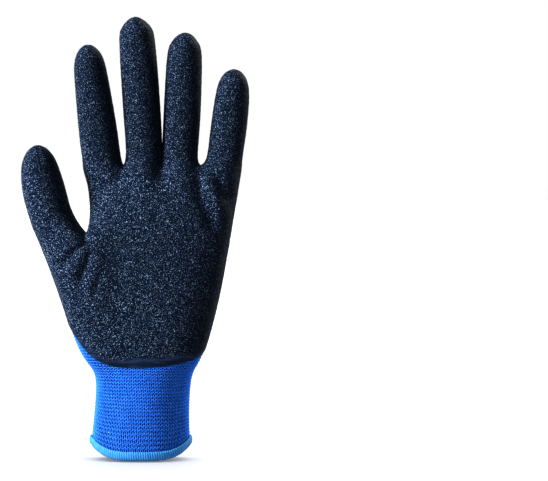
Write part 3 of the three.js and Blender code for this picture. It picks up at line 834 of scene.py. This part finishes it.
class Shader:
    """A material's node tree with one Principled BSDF."""

    def __init__(self, name, **constants):
        self.material = bpy.data.materials.new(name)
        self.material.use_nodes = True
        self.tree = self.material.node_tree
        self.surface = next(n for n in self.tree.nodes if n.type == "BSDF_PRINCIPLED")
        self.set(**constants)

    def node(self, kind, settings=None, inputs=None):
        """Adds a node: its settings first, then values or links of its sockets."""
        made = self.tree.nodes.new(kind)
        for key, value in (settings or {}).items():
            setattr(made, key, value)
        for key, value in (inputs or {}).items():
            self.put(made.inputs[key], value)
        return made

    def put(self, socket, value):
        """Links a socket or sets its value."""
        if isinstance(value, Number):
            value = value.socket
        if isinstance(value, bpy.types.NodeSocket):
            self.tree.links.new(value, socket)
        else:
            socket.default_value = value

    def set(self, **inputs):
        """Feeds the surface's sockets."""
        for key, value in inputs.items():
            self.put(self.surface.inputs[key.replace("_", " ").title().replace("Ior", "IOR")], value)

    def place(self):
        """Object coordinates."""
        return self.node("ShaderNodeTexCoord").outputs["Object"]

    def noise(self, size, detail=2.0, stretch=(1, 1, 1), distortion=0.0):
        """Noise from 0 to 1 in object coordinates, with features about size millimetres wide."""
        where = self.node("ShaderNodeMapping", None, {"Vector": self.place(), "Scale": stretch}).outputs[0]
        values = {"Vector": where, "Scale": 1 / (size * MM), "Detail": detail, "Distortion": distortion}
        return Number(self, self.node("ShaderNodeTexNoise", None, values).outputs["Fac"])

    def height(self):
        """Height over the wrist opening in millimetres."""
        parts = self.node("ShaderNodeSeparateXYZ", None, {"Vector": self.place()})
        return Number(self, parts.outputs["Z"]) / MM

    def attribute(self, name):
        """A number kept at the mesh's points."""
        return Number(self, self.node("ShaderNodeAttribute", {"attribute_name": name}).outputs["Fac"])

    def mix(self, factor, first, second):
        """Colour between two colours, by the node's own numbers for its colour sockets."""
        a, b = ((*value, 1) if isinstance(value, tuple) else value for value in (first, second))
        return self.node("ShaderNodeMix", {"data_type": "RGBA"}, {0: factor, 6: a, 7: b}).outputs[2]

    def bump(self, height, distance, strength):
        """Feeds Normal with a bump of some millimetres."""
        values = {"Height": height, "Distance": distance * MM, "Strength": strength}
        self.set(normal=self.node("ShaderNodeBump", None, values).outputs["Normal"])


def linear(*levels):
    """Linear colour from 0 to 255 display levels."""
    share = np.array(levels) / 255
    curve = np.where(share <= 0.04045, share / 12.92, ((share + 0.055) / 1.055) ** 2.4)
    return tuple(float(v) for v in curve)


HAND_LIGHT = linear(108, 158, 234)
CUFF_LIGHT = linear(60, 134, 230)
# Heights between which the yarn turns paler and whiter upwards: painted light from above and a painted sheen
PAINTED_LIGHT_HEIGHTS = (58, 140)


def yarn_material(name, colour, light, above=None):
    """Spun yarn: blue with lighter flecks of fibre and a faint sheen. Above the wrist it turns paler upwards,
    painted light from above with a painted sheen.
    """
    shader = Shader(name, roughness=0.85, sheen_weight=0.02, sheen_roughness=0.5, specular_ior_level=0.06)
    tone = (shader.noise(9, 2) * 0.4 + shader.noise(0.7, 3) * 1.8 - 0.7).clamped()
    yarn = shader.mix(tone, colour, light)
    if above:
        # Painted light: paler, whiter yarn upwards stands for more light from above and a sheen
        yarn = shader.mix(shader.height().step(*PAINTED_LIGHT_HEIGHTS), yarn, shader.mix(tone, *above))
    shader.set(base_color=yarn)
    shader.bump(shader.noise(0.22, 2, (1, 1, 2)), 0.06, 0.6)
    return shader.material


def ground_material():
    """Fabric seen between the loops, painted in the deep shade that falls between them."""
    shader = Shader("liner", roughness=0.95, specular_ior_level=0.1)
    patches = shader.noise(1.2, 2).step(0.35, 0.7)
    # Painted shade: dark blues for the shade between the loops, in random patches
    shader.set(base_color=shader.mix(patches, linear(2, 14, 48), linear(6, 24, 70)))
    shader.bump(shader.noise(0.8, 2), 0.1, 0.6)
    return shader.material


def hem_material():
    """Pale blue thread, with painted shade in the grooves between its wraps."""
    shader = Shader("hem_thread", roughness=0.7, sheen_weight=0.1, specular_ior_level=0.2)
    groove = shader.attribute("groove").step(-1.1, 0.3)
    strand = shader.mix(shader.noise(1.5, 3).step(0.3, 0.7), colour("hem"), linear(52, 124, 174))
    # Painted shade: darker blue in the grooves between the wraps
    shader.set(base_color=shader.mix(groove, linear(26, 92, 150), strand))
    shader.bump(shader.noise(0.25, 2), 0.06, 0.6)
    return shader.material


def latex_material():
    """Crinkled rubber film: painted shade makes its valleys black, painted light makes its crinkles navy
    where more key light falls, and pale specks on their tips are painted glints.
    """
    shader = Shader("latex", specular_ior_level=0.04)
    amount, ridge, worn, margin = map(shader.attribute, ("crinkle", "ridge", "worn", "margin"))
    worms = (1 - abs(shader.noise(1, 1, (1.1, 1.1, 0.9), 0.5) - 0.5) * 6).clamped()
    specks = shader.noise(0.47, 0).step(0.6, 0.8)
    # Painted glints: pale specks on the crinkles' tips, fewer where less key light falls
    tips = (specks * (0.6 + 0.4 * worms) * (0.8 + 0.2 * ridge) * amount * worn).clamped()
    # Painted highlight: lighter blue lines along the margin's wrinkles, which also bump the surface
    wrinkles = shader.noise(1.5, 2, (0.12, 0.12, 1)).step(0.45, 0.7) * margin
    relief = (worms * 0.6 + specks * 0.4) * amount
    # Painted shade in the crinkles' valleys and painted light, navy, on the crinkles where more key light
    # falls
    crinkled = shader.mix(worms * worn * 0.8, linear(1, 8, 19), linear(3, 22, 50))
    film = shader.mix(margin, colour("latex"), linear(15, 27, 46))
    film = shader.mix(wrinkles * 0.7, shader.mix(amount, film, crinkled), linear(38, 52, 80))
    # Painted glints laid over the film
    film = shader.mix(tips, film, linear(146, 172, 202))
    shader.set(base_color=film, roughness=0.62 - 0.12 * relief)
    shader.bump(relief + wrinkles * 0.4, 0.4, 0.9)
    return shader.material


def floor_material():
    """The stage's even, pale surface, with a grain that is hardly seen."""
    shader = Shader("floor", roughness=0.7, emission_strength=0.22)
    pale = colour("floor")
    shader.set(base_color=shader.mix(shader.noise(120, 2), pale, tuple(v * 0.985 for v in pale)))
    return shader.material


# Settings

LENGTH = {"unit": "LENGTH", "precision": 4}
COLOUR = {"subtype": "COLOR", "min": 0, "max": 1}


class GloveSizes(bpy.types.PropertyGroup):
    """Sizes of the visible surfaces."""

    wale: FloatProperty(name="Hand wale", description="Stitch width", default=2.0 * MM, **LENGTH)
    course: FloatProperty(name="Hand course", description="Stitch height", default=1.7 * MM, **LENGTH)
    cuff_wale: FloatProperty(name="Cuff wale", description="Stitch width", default=2.05 * MM, **LENGTH)
    cuff_course: FloatProperty(name="Cuff course", description="Stitch height", default=1.85 * MM, **LENGTH)
    yarn: FloatProperty(name="Yarn", description="Thickness of the yarn", default=0.62 * MM, **LENGTH)
    wrap: FloatProperty(name="Wrap", description="Spacing of the hem's wraps", default=1.3 * MM, **LENGTH)
    film: FloatProperty(name="Film", description="Thickness of the latex film", default=0.75 * MM, **LENGTH)
    crinkle: FloatProperty(name="Crinkle", description="Height of the crinkles", default=0.2 * MM, **LENGTH)


class GloveColours(bpy.types.PropertyGroup):
    """Colours of yarn, thread, latex and floor."""

    hand: FloatVectorProperty(name="Hand", description="Hand's yarn", default=linear(30, 76, 154), **COLOUR)
    cuff: FloatVectorProperty(name="Cuff", description="Cuff's yarn", default=linear(20, 70, 150), **COLOUR)
    hem: FloatVectorProperty(name="Hem", description="Hem's thread", default=linear(36, 104, 152), **COLOUR)
    latex: FloatVectorProperty(name="Latex", description="Latex film", default=linear(14, 16, 22), **COLOUR)
    floor: FloatVectorProperty(name="Floor", description="Stage", default=linear(253, 253, 253), **COLOUR)


def sizes():
    """The sizes in millimetres by name."""
    group = bpy.context.scene.glove_sizes
    return {key: getattr(group, key) / MM for key in GloveSizes.__annotations__}


def colour(name):
    """A colour of the settings."""
    return tuple(getattr(bpy.context.scene.glove_colours, name))


# Pieces

SURFACE = []
LINER_DEPTH = 0.45
LINER_SPACING = 2.2
FILM_SPACING = 0.75
FILM_FOOT = 0.45
EDGE_REACH = 3
# Smooth margin over the palm's edge: least width, how much wider in its middle, that middle's place and reach
MARGIN_LEAST, MARGIN_MORE, MARGIN_MIDDLE, MARGIN_REACH = 2.0, 3.6, 4, 24
# The tips are crinkled all round to between these distances from their ends
TIP_CRINKLES = (-17, -12)
CUFF_BANDS = ["trunk 1", "trunk 2"]
WRIST_BANDS = ["trunk 3"]


def glove():
    """The smooth surface, worked out once."""
    if not SURFACE:
        SURFACE.append(Glove())
    return SURFACE[0]


def hand_bands():
    """Bands above the wrist."""
    names = glove().names("trunk", "palm", *(digit.name for digit in DIGITS))
    return [name for name in names if name not in CUFF_BANDS]


def finish_piece(made, material, slot, *nodes):
    """Gives a piece its material and its body, and hides the nodes that it stands for; the slot is not used.
    """
    made.data.materials.append(material)
    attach(made, "root")
    if nodes:
        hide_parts(*nodes)


class GLOVE_OT_liner(bpy.types.Operator):
    """Closed knitted walls of hand and cuff, seen between the yarn's loops and from inside"""

    bl_idname = "glove.liner"
    bl_label = "Liner"

    def execute(self, context):
        ground = ground_material()
        for name, bands, slot, node in (
            ("hand_liner", hand_bands(), "hand_knit", "knit_hand"),
            ("cuff_liner", CUFF_BANDS, "cuff_knit", "knit_cuff"),
        ):
            points, normals, quads = glove().mesh(bands, LINER_SPACING)
            made = shell(name, points - LINER_DEPTH * normals, points - KNIT_WALL * normals, quads)
            finish_piece(made, ground, slot, node)
        return {"FINISHED"}


def bare_yarn(name, parts, material):
    """One piece of yarn over several blocks, where the knit is bare."""
    size = sizes()
    rings, quads, total = [], [], 0
    for block, shift in parts:
        lines, normals, valid = knit_rows(block, size["wale"], size["course"], HAND_LOOP, size["yarn"], shift)
        bare = glove().bare(lines.reshape(-1, 3)).reshape(valid.shape)
        points, faces = tubes(lines, normals, valid & (bare > UNDER_EDGE), size["yarn"] / 2)
        rings.append(points)
        quads.append(faces + total)
        total += len(points)
    made = make_object(name, join(rings), [join(quads)])
    finish_piece(made, material, "hand_knit")


def digit_part(digit, below, corner, centre):
    """Block over a digit's back, with rows of what lies below it, and the shift that carries its wales on."""
    column = corner * SAMPLES
    names = [name for name in glove().names(digit.name) if not name.endswith("cap")]
    under = below[:, column - 2 * SAMPLES:column + 2 * SAMPLES + 1]
    length = lengths_along(below[-1, :, :3])
    shift = -((length[column] - length[centre]) % sizes()["wale"])
    return stacked([glove().rows(names, "back")], 2 * SAMPLES, under), shift


class GLOVE_OT_hand_yarn(bpy.types.Operator):
    """Loops of yarn over the back of the hand, the fingers' strips and the palm's heel"""

    bl_idname = "glove.hand_yarn"
    bl_label = "Hand yarn"

    def execute(self, context):
        surface = glove()
        material = yarn_material("hand_yarn", colour("cuff"), CUFF_LIGHT, (colour("hand"), HAND_LIGHT))
        hand = [name for name in surface.names("trunk") if name not in CUFF_BANDS + WRIST_BANDS]
        centre = 6 * SAMPLES
        back, palm = surface.rows(hand, "back"), surface.rows(surface.names("palm"), "back")
        beyond = np.repeat(palm[:, -1:], back.shape[1] - palm.shape[1], 1)
        above = join([palm, beyond], 1)
        lower = stacked([back], centre, surface.rows(WRIST_BANDS, "back"), above)
        bare_yarn("yarn_back", [(lower, 0)], material)
        heel = stacked([surface.rows(hand, "palm")], centre + BESIDE, surface.rows(WRIST_BANDS, "palm"))
        bare_yarn("yarn_heel", [(heel, 0)], material)
        knuckles = stacked([palm], centre, back[:, :palm.shape[1]])
        thumb, *fingers = DIGITS
        bare_yarn("yarn_knuckles", [(knuckles, 0), digit_part(thumb, back, 10, centre)], material)
        parts = [digit_part(finger, palm, 8 - 2 * k, centre) for k, finger in enumerate(fingers)]
        bare_yarn("yarn_fingers", parts, material)
        return {"FINISHED"}


class GLOVE_OT_cuff_yarn(bpy.types.Operator):
    """Loops of elastic yarn all round the cuff, carried on over the wrist"""

    bl_idname = "glove.cuff_yarn"
    bl_label = "Cuff yarn"

    def execute(self, context):
        size = sizes()
        surface = glove()
        parts = CUFF_BANDS, WRIST_BANDS, ["trunk 4"]
        cuff, wrist, above = (surface.rows(names, "round") for names in parts)
        block = stacked([cuff, wrist], 0, None, above)
        around = round(lengths_along(cuff[..., :3], 1)[:, -1].mean() / size["cuff_wale"])
        lines, normals, valid = knit_rows(block, 1, size["cuff_course"], CUFF_LOOP, size["yarn"], 0, around)
        on_cuff = lines[..., 2].mean(1) < CUFF_LENGTH
        bare = surface.bare(lines.reshape(-1, 3)).reshape(valid.shape) > UNDER_EDGE
        for name, slot, chosen in (("cuff", "cuff_knit", on_cuff), ("wrist", "hand_knit", ~on_cuff)):
            points, quads = tubes(lines[chosen], normals[chosen], bare[chosen], size["yarn"] / 2, True)
            material = yarn_material(f"{name}_yarn", colour("cuff"), CUFF_LIGHT)
            finish_piece(make_object(f"yarn_{name}", points, [quads]), material, slot)
        return {"FINISHED"}


class GLOVE_OT_hem(bpy.types.Operator):
    """Thread wrapped over the cuff's edge: a channel section carried round it, swelling with each wrap"""

    bl_idname = "glove.hem"
    bl_label = "Hem"

    def execute(self, context):
        edge, _, above = glove().rows(["trunk 1"], "round")[:3]
        length = lengths_along(edge[:, :3])
        wraps = round(length[-1] / sizes()["wrap"])
        per_wrap = 8
        where = np.linspace(0, length[-1], wraps * per_wrap + 1)[:-1]
        columns = *edge.T, *(above - edge).T[:3]
        ring = np.stack([np.interp(where, length, column) for column in columns], -1)
        normal, up = unit(ring[:, 3:6]), unit(ring[:, 6:])
        out = SEAM_GAP + HEM_THREAD
        leg = HEM_HEIGHT - out
        within = -KNIT_WALL - out
        behind = -KNIT_WALL - SEAM_GAP
        section = corner_cut(np.array([
            (out, leg), (out, -SEAM_GAP), (out - HEM_THREAD, -out), (within + HEM_THREAD, -out),
            (within, -SEAM_GAP), (within, leg), (behind, leg), (behind, -SEAM_GAP), (SEAM_GAP, -SEAM_GAP),
            (SEAM_GAP, leg),
        ]), closed=True)
        forward = np.roll(section, -1, 0) - np.roll(section, 1, 0)
        away = unit(np.stack([forward[:, 1], -forward[:, 0]], -1))
        if (away * (section - section.mean(0))).sum() < 0:
            away = -away
        phase = 2 * math.pi * np.arange(len(where))[:, None] / per_wrap + 0.5 * section[None, :, 1]
        swell = 0.09 * np.cos(phase) - 0.07 + 0.1 * gradient_noise(ring[:, :3], 3.0, 5)[:, None]
        shape = section[None] + away[None] * swell[..., None]
        points = ring[:, None, :3] + shape[..., :1] * normal[:, None] + shape[..., 1:] * up[:, None]
        index = np.arange(phase.size).reshape(phase.shape)
        after = np.roll(index, -1, 0)
        quads = np.stack([index, np.roll(index, -1, 1), np.roll(after, -1, 1), after], -1).reshape(-1, 4)
        made = make_object("hem_thread", points.reshape(-1, 3), [quads], {"groove": np.cos(phase).ravel()})
        finish_piece(made, hem_material(), "hem_thread", "cuff_hem")
        return {"FINISHED"}


class GLOVE_OT_coating(bpy.types.Operator):
    """Crinkled latex film over palm, thumb, fingertips and the fingers' sides"""

    bl_idname = "glove.coating"
    bl_label = "Coating"

    def execute(self, context):
        size = sizes()
        surface = glove()
        points, normals, quads = surface.mesh(hand_bands(), FILM_SPACING)
        bare = surface.bare(points)
        quads = quads[(bare < EDGE_REACH)[quads].any(1)]
        triangles = join([quads[:, [0, 1, 2]], quads[:, [0, 2, 3]]])
        triangles, (bare, points, normals) = clip(bare, triangles, points, normals)
        normals = unit(normals)
        # The film is smooth in a margin above its edge on the palm, widest in the middle, and on the back
        # except at the tips
        below = distance_inside(points[:, [0, 2]], surface.bare.palm)
        margin = MARGIN_LEAST + MARGIN_MORE * np.exp(-(((points[:, 0] - MARGIN_MIDDLE) / MARGIN_REACH) ** 2))
        amount = smoothstep(-below + 0.9 * gradient_noise(points, 3, 31), margin - 1.5, margin + 1.5)
        faces_palm = smoothstep(-normals[:, 1], -0.35, 0.05)
        margins = (1 - amount) * faces_palm * smoothstep(below, -9, -6)
        apexes = [digit_frame(digit, np.float64(1))[0] for digit in DIGITS]
        tip = np.min([np.linalg.norm(points - apex, axis=1) for apex in apexes], axis=0)
        amount *= np.maximum(faces_palm, smoothstep(-tip, *TIP_CRINKLES))
        ridge = crinkle(points)
        # Painted light: the glints and navy crinkles fade towards the little finger's side, up the fingers
        # and behind the thumb, where less key light falls
        worn = 0.2 + 0.8 * smoothstep(-normals[:, 0], -0.65, 0.15)
        worn *= mix(1, 0.7, smoothstep(points[:, 2], CROTCH_HEIGHT - 12, CROTCH_HEIGHT + 12))
        behind = smoothstep(normals[:, 1], 0, 0.5)
        worn = mix(worn, 1.1 - 0.6 * smoothstep(-points[:, 0], 38, 46), behind)
        edge = smoothstep(-bare, 0, 2.5)
        height = mix(FILM_FOOT, 0.3 + size["film"], edge) + size["crinkle"] * amount * edge * (ridge - 0.5)
        outer, inner = points + height[:, None] * normals, points - 0.05 * normals
        fields = {"crinkle": amount, "ridge": ridge, "worn": worn, "margin": margins}
        made = shell("latex_film", outer, inner, triangles, fields)
        finish_piece(made, latex_material(), "latex", "latex_coating")
        return {"FINISHED"}


# Stage

PHOTO_WIDTH, PHOTO_HEIGHT = 548, 481
PIXEL = 0.563 * MM
PALM_VIEW_ORIGIN = (142.2, 458.5)
LENS_DISTANCE = 2.0
CAMERA_DISTANCE = 1.998
CAMERA_ELEVATION = math.radians(2)
FLOOR_REACH = 6000
FLOOR_LEVEL = -0.6
LIGHTS = table(
    "name place size power", ("key", (-1.2, -0.48, 0.7), 0.45, 90), ("back_key", (1, 0.8, 1), 0.5, 48)
)
LIT_POINT = (0, 0, 0.13)


class GLOVE_OT_stage(bpy.types.Operator):
    """Pale floor, soft lights and the camera"""

    bl_idname = "glove.stage"
    bl_label = "Stage"

    def execute(self, context):
        scene = context.scene
        corners = np.array([[-1, -1], [1, -1], [1, 1], [-1, 1]]) * FLOOR_REACH
        flat = join([corners, np.full((4, 1), FLOOR_LEVEL)], 1)
        floor = make_object("floor", flat, [np.array([[0, 1, 2, 3]])], smooth=False)
        floor.data.materials.append(floor_material())
        world = bpy.data.worlds.new("studio")
        world.use_nodes = True
        background = world.node_tree.nodes["Background"]
        background.inputs["Color"].default_value = (1, 1, 1, 1)
        background.inputs["Strength"].default_value = 1.0
        scene.world = world
        scene.view_settings.view_transform = "Standard"
        scene.view_settings.gamma = 0.8
        pieces = bpy.data.collections.new("glove pieces")
        for piece in scene.objects:
            if piece.type == "MESH" and piece is not floor:
                pieces.objects.link(piece)
        for row in LIGHTS:
            lamp = bpy.data.lights.new(row.name, "AREA")
            lamp.size = row.size
            lamp.energy = row.power
            made = bpy.data.objects.new(row.name, lamp)
            made.location = row.place
            made.rotation_euler = (Vector(LIT_POINT) - Vector(row.place)).to_track_quat("-Z", "Y").to_euler()
            made.light_linking.receiver_collection = pieces
            scene.collection.objects.link(made)
        camera = bpy.data.cameras.new("camera")
        camera.sensor_width = 36
        camera.lens = camera.sensor_width * LENS_DISTANCE / (PHOTO_WIDTH * PIXEL)
        camera.shift_x = 0.5 - PALM_VIEW_ORIGIN[0] / PHOTO_WIDTH
        camera.clip_start = 0.05
        camera.clip_end = 60
        eye = bpy.data.objects.new("camera", camera)
        aim = (PALM_VIEW_ORIGIN[1] - PHOTO_HEIGHT / 2) * PIXEL
        back, rise = math.cos(CAMERA_ELEVATION), math.sin(CAMERA_ELEVATION)
        eye.location = (0, -CAMERA_DISTANCE * back, aim + CAMERA_DISTANCE * rise)
        eye.rotation_euler = (math.pi / 2 - CAMERA_ELEVATION, 0, 0)
        scene.collection.objects.link(eye)
        scene.camera = eye
        return {"FINISHED"}


STEPS_IN_ORDER = (
    GLOVE_OT_liner, GLOVE_OT_hand_yarn, GLOVE_OT_cuff_yarn, GLOVE_OT_hem, GLOVE_OT_coating, GLOVE_OT_stage
)


class GLOVE_PT_panel(bpy.types.Panel):
    """Sizes, colours and building steps of the glove"""

    bl_idname = "GLOVE_PT_panel"
    bl_label = "Coated grip glove"
    bl_space_type = "VIEW_3D"
    bl_region_type = "UI"
    bl_category = "Glove"

    def draw(self, context):
        for group, kind in (("glove_sizes", GloveSizes), ("glove_colours", GloveColours)):
            box = self.layout.box()
            for key in kind.__annotations__:
                box.prop(getattr(context.scene, group), key)
        for step in STEPS_IN_ORDER:
            self.layout.operator(step.bl_idname)


CLASSES = (GloveSizes, GloveColours, *STEPS_IN_ORDER, GLOVE_PT_panel)


def register():
    """Registers the classes and the settings."""
    for kind in CLASSES:
        bpy.utils.register_class(kind)
    bpy.types.Scene.glove_sizes = PointerProperty(type=GloveSizes)
    bpy.types.Scene.glove_colours = PointerProperty(type=GloveColours)


def unregister():
    """Removes the settings and the classes."""
    del bpy.types.Scene.glove_colours
    del bpy.types.Scene.glove_sizes
    for kind in reversed(CLASSES):
        bpy.utils.unregister_class(kind)


def main():
    """Builds every piece in order."""
    register()
    bpy.ops.glove.liner()
    bpy.ops.glove.hand_yarn()
    bpy.ops.glove.cuff_yarn()
    bpy.ops.glove.hem()
    bpy.ops.glove.coating()
    bpy.ops.glove.stage()


if __name__ == "__main__":
    main()
